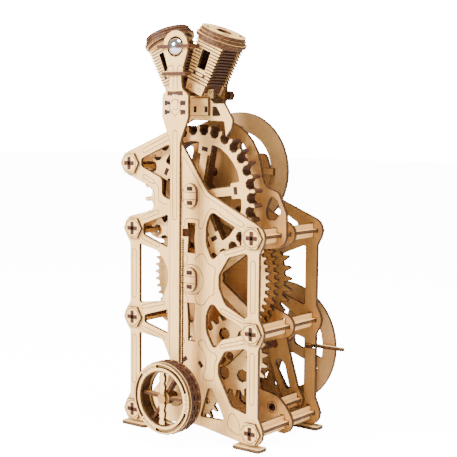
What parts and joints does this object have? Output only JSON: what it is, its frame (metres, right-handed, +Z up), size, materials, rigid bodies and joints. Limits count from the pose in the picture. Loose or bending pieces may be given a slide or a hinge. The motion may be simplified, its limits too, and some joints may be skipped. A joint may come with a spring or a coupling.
{
  "type": "wooden mechanical model kit",
  "caption": "Laser-cut plywood tower model with a two-cylinder engine on top, a pocket wheel, gears, ring flywheels and a spoked front wheel that turn on their axles.",
  "frame": {"origin": "centre of the bottom of the bounding box, on the plane that the four feet stand on", "axes": "+Z up, +X to the right seen from the front wheel, +Y from the front wheel towards the rear flywheel"},
  "size_m": [0.1894, 0.1502, 0.3795],
  "materials": {
    "back_plate": "laser-cut plywood, sanded faces and burnt edges",
    "coarse_wheel": "laser-cut plywood, sanded faces and burnt edges",
    "cord": "twisted thread",
    "cord_block": "laser-cut plywood, sanded faces and burnt edges",
    "crank_disc": "laser-cut plywood, sanded faces and burnt edges",
    "crankcase": "laser-cut plywood, sanded faces and burnt edges",
    "crankshaft": "laser-cut plywood, sanded faces and burnt edges",
    "drive_axle": "laser-cut plywood, sanded faces and burnt edges",
    "drive_pinion": "laser-cut plywood, sanded faces and burnt edges",
    "flywheel_spider": "laser-cut plywood, sanded faces and burnt edges",
    "fork_rail": "laser-cut plywood, sanded faces and burnt edges",
    "front_left_foot": "laser-cut plywood, sanded faces and burnt edges",
    "front_plate": "laser-cut plywood, sanded faces and burnt edges",
    "front_right_foot": "laser-cut plywood, sanded faces and burnt edges",
    "handlebar_plate": "laser-cut plywood, sanded faces and burnt edges",
    "high_left_tie_bar": "laser-cut plywood, sanded faces and burnt edges",
    "high_right_tie_bar": "laser-cut plywood, sanded faces and burnt edges",
    "idler_axle": "laser-cut plywood, sanded faces and burnt edges",
    "idler_gear": "laser-cut plywood, sanded faces and burnt edges",
    "idler_pinion": "laser-cut plywood, sanded faces and burnt edges",
    "inner_bracket": "laser-cut plywood, sanded faces and burnt edges",
    "lamp_ball": "polished",
    "left_cylinder": "laser-cut plywood, sanded faces and burnt edges",
    "left_head_cover": "laser-cut plywood, sanded faces and burnt edges",
    "left_piston": "laser-cut plywood, sanded faces and burnt edges",
    "low_left_tie_bar": "laser-cut plywood, sanded faces and burnt edges",
    "low_right_tie_bar": "laser-cut plywood, sanded faces and burnt edges",
    "lower_axle_cap": "laser-cut plywood, sanded faces and burnt edges",
    "lower_flywheel": "laser-cut plywood, sanded faces and burnt edges",
    "main_axle": "laser-cut plywood, sanded faces and burnt edges",
    "main_gear_front": "laser-cut plywood, sanded faces and burnt edges",
    "main_gear_rear": "laser-cut plywood, sanded faces and burnt edges",
    "middle_left_tie_bar": "laser-cut plywood, sanded faces and burnt edges",
    "middle_plate": "laser-cut plywood, sanded faces and burnt edges",
    "middle_right_tie_bar": "laser-cut plywood, sanded faces and burnt edges",
    "pocket_axle": "laser-cut plywood, sanded faces and burnt edges",
    "pocket_pinion": "laser-cut plywood, sanded faces and burnt edges",
    "pocket_wheel_front": "laser-cut plywood, sanded faces and burnt edges",
    "pocket_wheel_rear": "laser-cut plywood, sanded faces and burnt edges",
    "rail_bridge": "laser-cut plywood, sanded faces and burnt edges",
    "rear_left_foot": "laser-cut plywood, sanded faces and burnt edges",
    "rear_right_foot": "laser-cut plywood, sanded faces and burnt edges",
    "right_cylinder": "laser-cut plywood, sanded faces and burnt edges",
    "right_head_cover": "laser-cut plywood, sanded faces and burnt edges",
    "right_piston": "laser-cut plywood, sanded faces and burnt edges",
    "ring_axle": "laser-cut plywood, sanded faces and burnt edges",
    "ring_flywheel": "laser-cut plywood, sanded faces and burnt edges",
    "ring_pinion": "laser-cut plywood, sanded faces and burnt edges",
    "stop_bar": "laser-cut plywood, sanded faces and burnt edges",
    "swing_pin": "laser-cut plywood, sanded faces and burnt edges",
    "swing_plate": "laser-cut plywood, sanded faces and burnt edges",
    "toothed_wheel": "laser-cut plywood, sanded faces and burnt edges",
    "top_left_tie_bar": "laser-cut plywood, sanded faces and burnt edges",
    "upper_axle_cap": "laser-cut plywood, sanded faces and burnt edges",
    "upper_bearing_plate": "laser-cut plywood, sanded faces and burnt edges",
    "wheel_front_rim": "laser-cut plywood, sanded faces and burnt edges",
    "wheel_rear_rim": "laser-cut plywood, sanded faces and burnt edges",
    "wheel_spokes": "laser-cut plywood, sanded faces and burnt edges",
    "wheel_tyre": "laser-cut plywood, sanded faces and burnt edges",
    "yoke_plate": "laser-cut plywood, sanded faces and burnt edges"
  },
  "bodies": {
    "frame": {"back_plate": "back_plate", "cord": "cord", "cord_block": "cord_block", "crankcase": "crankcase", "fork_rail": "fork_rail", "front_left_foot": "front_left_foot", "front_plate": "front_plate", "front_right_foot": "front_right_foot", "handlebar_plate": "handlebar_plate", "high_left_tie_bar": "high_left_tie_bar", "high_right_tie_bar": "high_right_tie_bar", "inner_bracket": "inner_bracket", "lamp_ball": "lamp_ball", "left_cylinder": "left_cylinder", "left_head_cover": "left_head_cover", "low_left_tie_bar": "low_left_tie_bar", "low_right_tie_bar": "low_right_tie_bar", "lower_axle_cap": "lower_axle_cap", "middle_left_tie_bar": "middle_left_tie_bar", "middle_plate": "middle_plate", "middle_right_tie_bar": "middle_right_tie_bar", "rail_bridge": "rail_bridge", "rear_left_foot": "rear_left_foot", "rear_right_foot": "rear_right_foot", "right_cylinder": "right_cylinder", "right_head_cover": "right_head_cover", "swing_pin": "swing_pin", "swing_plate": "swing_plate", "top_left_tie_bar": "top_left_tie_bar", "upper_axle_cap": "upper_axle_cap", "upper_bearing_plate": "upper_bearing_plate", "yoke_plate": "yoke_plate"},
    "drive": {"drive_axle": "drive_axle", "drive_pinion": "drive_pinion", "toothed_wheel": "toothed_wheel", "wheel_front_rim": "wheel_front_rim", "wheel_rear_rim": "wheel_rear_rim", "wheel_spokes": "wheel_spokes", "wheel_tyre": "wheel_tyre"},
    "idler": {"idler_axle": "idler_axle", "idler_gear": "idler_gear", "idler_pinion": "idler_pinion", "lower_flywheel": "lower_flywheel"},
    "main": {"coarse_wheel": "coarse_wheel", "main_axle": "main_axle", "main_gear_front": "main_gear_front", "main_gear_rear": "main_gear_rear"},
    "pocket": {"pocket_axle": "pocket_axle", "pocket_pinion": "pocket_pinion", "pocket_wheel_front": "pocket_wheel_front", "pocket_wheel_rear": "pocket_wheel_rear"},
    "ring": {"flywheel_spider": "flywheel_spider", "ring_axle": "ring_axle", "ring_flywheel": "ring_flywheel", "ring_pinion": "ring_pinion"},
    "crank": {"crank_disc": "crank_disc", "crankshaft": "crankshaft"},
    "stop_bar": {"stop_bar": "stop_bar"},
    "left_piston": {"left_piston": "left_piston"},
    "right_piston": {"right_piston": "right_piston"}
  },
  "joints": [
    {"name": "main_spin", "type": "hinge", "parent": "frame", "child": "main", "pos_m": [-0.00934, 0.02415, 0.1476], "axis": [0, 1, 0], "continuous": true},
    {"name": "idler_spin", "type": "hinge", "parent": "frame", "child": "idler", "pos_m": [0.02316, 0.02415, 0.078], "axis": [0, 1, 0], "continuous": true},
    {"name": "drive_spin", "type": "hinge", "parent": "frame", "child": "drive", "pos_m": [-0.00934, 0.02415, 0.0443], "axis": [0, 1, 0], "continuous": true},
    {"name": "pocket_spin", "type": "hinge", "parent": "frame", "child": "pocket", "pos_m": [-0.00934, 0.02415, 0.2246], "axis": [0, 1, 0], "continuous": true},
    {"name": "ring_spin", "type": "hinge", "parent": "frame", "child": "ring", "pos_m": [-0.00934, 0.02415, 0.2455], "axis": [0, 1, 0], "continuous": true},
    {"name": "crank_spin", "type": "hinge", "parent": "frame", "child": "crank", "pos_m": [-0.00934, 0.02415, 0.3036], "axis": [0, 1, 0], "continuous": true},
    {"name": "left_piston_slide", "type": "slide", "parent": "frame", "child": "left_piston", "axis": [-0.3827, 0, 0.9239], "range_m": [-0.004, 0.004]},
    {"name": "right_piston_slide", "type": "slide", "parent": "frame", "child": "right_piston", "axis": [0.3827, 0, 0.9239], "range_m": [-0.004, 0.004]},
    {"name": "stop_bar_slide", "type": "slide", "parent": "frame", "child": "stop_bar", "axis": [1, 0, 0], "range_m": [0, 0.004]}
  ],
  "couplings": [
    {"joint": "idler_spin", "follows": "main_spin", "ratio": -6},
    {"joint": "drive_spin", "follows": "main_spin", "ratio": 19.714},
    {"joint": "pocket_spin", "follows": "main_spin", "ratio": -6},
    {"joint": "ring_spin", "follows": "main_spin", "ratio": 6.6667}
  ]
}
